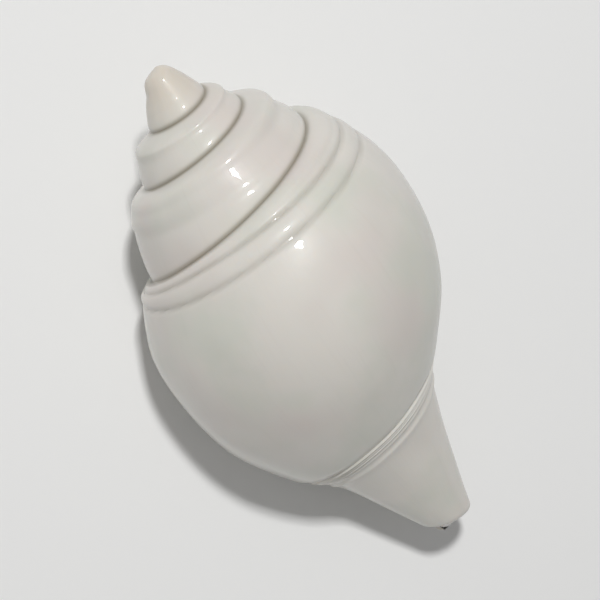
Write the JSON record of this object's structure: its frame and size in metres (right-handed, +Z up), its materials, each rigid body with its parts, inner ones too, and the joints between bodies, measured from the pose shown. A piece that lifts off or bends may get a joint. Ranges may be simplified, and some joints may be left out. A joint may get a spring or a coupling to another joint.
{
  "type": "conch shell",
  "caption": "Polished white sacred chank (conch) shell, lying on its aperture side, with a stepped spire, a round body whorl and an open canal.",
  "frame": {"origin": "middle of the shell's footprint, on the surface it lies on", "axes": "+X from the apex to the end of the canal, +Y away from the outer lip, +Z up, out of the back of the body whorl"},
  "size_m": [0.1224, 0.0672, 0.0613],
  "materials": {
    "shell": "gloss"
  },
  "bodies": {
    "root": {"shell": "shell"}
  },
  "joints": []
}
